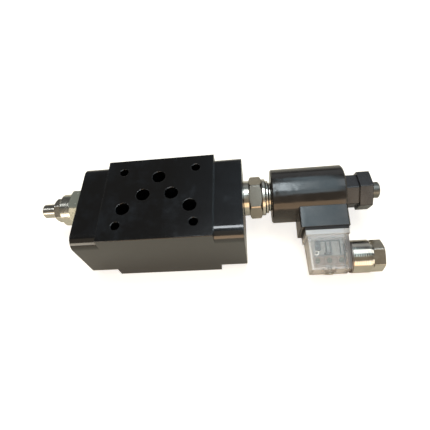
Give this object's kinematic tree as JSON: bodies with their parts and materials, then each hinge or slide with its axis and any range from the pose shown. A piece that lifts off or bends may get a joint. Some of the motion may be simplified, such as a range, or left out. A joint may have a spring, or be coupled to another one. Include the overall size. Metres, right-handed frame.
{
  "type": "hydraulic sandwich valve",
  "caption": "Black sandwich valve block with a hexagonal relief adjuster at one end and a solenoid coil with a clear plug connector and cable gland at the other.",
  "frame": {"origin": "middle of the lower bolting face", "axes": "+X along the cartridges towards the solenoid, +Z from the lower to the upper bolting face"},
  "size_m": [0.2604, 0.083, 0.055],
  "materials": {
    "black_block": "black oxide, satin",
    "zinc_steel": "zinc plated, bright",
    "inner_steel": "ground",
    "brass": "plain",
    "nickel_brass": "nickel plated",
    "seal_rubber": "matt",
    "coil_plastic": "satin moulding",
    "nut_plastic": "satin moulding",
    "clear_plastic": "frosted clear moulding",
    "insert_plastic": "moulded",
    "board": "lacquered"
  },
  "bodies": {
    "valve": {"valve_body": "black_block", "adjuster_housing": "zinc_steel", "cartridge_body": "zinc_steel", "coil_washer": "zinc_steel", "valve_seat": "inner_steel", "relief_spring": "inner_steel", "spool_spring": "inner_steel", "core_tube": "inner_steel", "pole_piece": "inner_steel", "tube_plug": "inner_steel", "port_seals": "seal_rubber", "adjuster_seal": "seal_rubber", "adjuster_nose_seal": "seal_rubber", "cartridge_seal": "seal_rubber", "cartridge_nose_seal": "seal_rubber", "override_seal": "seal_rubber", "nut_seal": "seal_rubber", "coil_nut": "nut_plastic"},
    "coil": {"coil": "coil_plastic", "contact_blades": "brass", "connector_gasket": "seal_rubber", "plug_housing": "clear_plastic", "terminal_insert": "insert_plastic", "circuit_board": "board", "indicator_lamp": "clear_plastic", "terminal_screws": "brass", "fixing_screw": "zinc_steel", "gland_body": "nickel_brass", "gland_washer": "zinc_steel", "gland_grommet": "seal_rubber", "gland_nut": "nickel_brass"},
    "guide": {"spring_guide": "brass", "guide_seal": "seal_rubber"},
    "adjuster": {"adjusting_screw": "zinc_steel"},
    "lock_nut": {"lock_nut": "zinc_steel"},
    "poppet": {"relief_poppet": "inner_steel"},
    "plunger": {"plunger": "inner_steel", "push_pin": "inner_steel", "spool": "inner_steel"},
    "override": {"override_pin": "zinc_steel"}
  },
  "joints": [
    {"name": "coil_swivel", "type": "hinge", "parent": "valve", "child": "coil", "pos_m": [0.106, 0.0115, 0.0275], "axis": [1, 0, 0], "continuous": true},
    {"name": "adjust_travel", "type": "slide", "parent": "valve", "child": "guide", "axis": [1, 0, 0], "range_m": [-0.0031, 0.0061], "deforming": ["relief_spring"]},
    {"name": "adjust_turn", "type": "hinge", "parent": "guide", "child": "adjuster", "pos_m": [-0.085, 0.0115, 0.0275], "axis": [1, 0, 0], "range_deg": [-720, 1440]},
    {"name": "lock_turn", "type": "hinge", "parent": "valve", "child": "lock_nut", "pos_m": [-0.086, 0.0115, 0.0275], "axis": [-1, 0, 0], "range_deg": [0, 90]},
    {"name": "poppet_lift", "type": "slide", "parent": "valve", "child": "poppet", "axis": [-1, 0, 0], "range_m": [0, 0.0015], "stiffness_N_per_m": 300, "springref_m": -0.005, "deforming": ["relief_spring"]},
    {"name": "plunger_stroke", "type": "slide", "parent": "valve", "child": "plunger", "axis": [-1, 0, 0], "range_m": [0, 0.0025], "stiffness_N_per_m": 300, "springref_m": -0.004, "deforming": ["spool_spring"]},
    {"name": "override_push", "type": "slide", "parent": "valve", "child": "override", "axis": [-1, 0, 0], "range_m": [0, 0.0026]}
  ],
  "couplings": [
    {"joint": "adjust_travel", "follows": "adjust_turn", "m_per_rad": 0.00023873},
    {"joint": "override_push", "follows": "plunger_stroke", "ratio": 1}
  ]
}
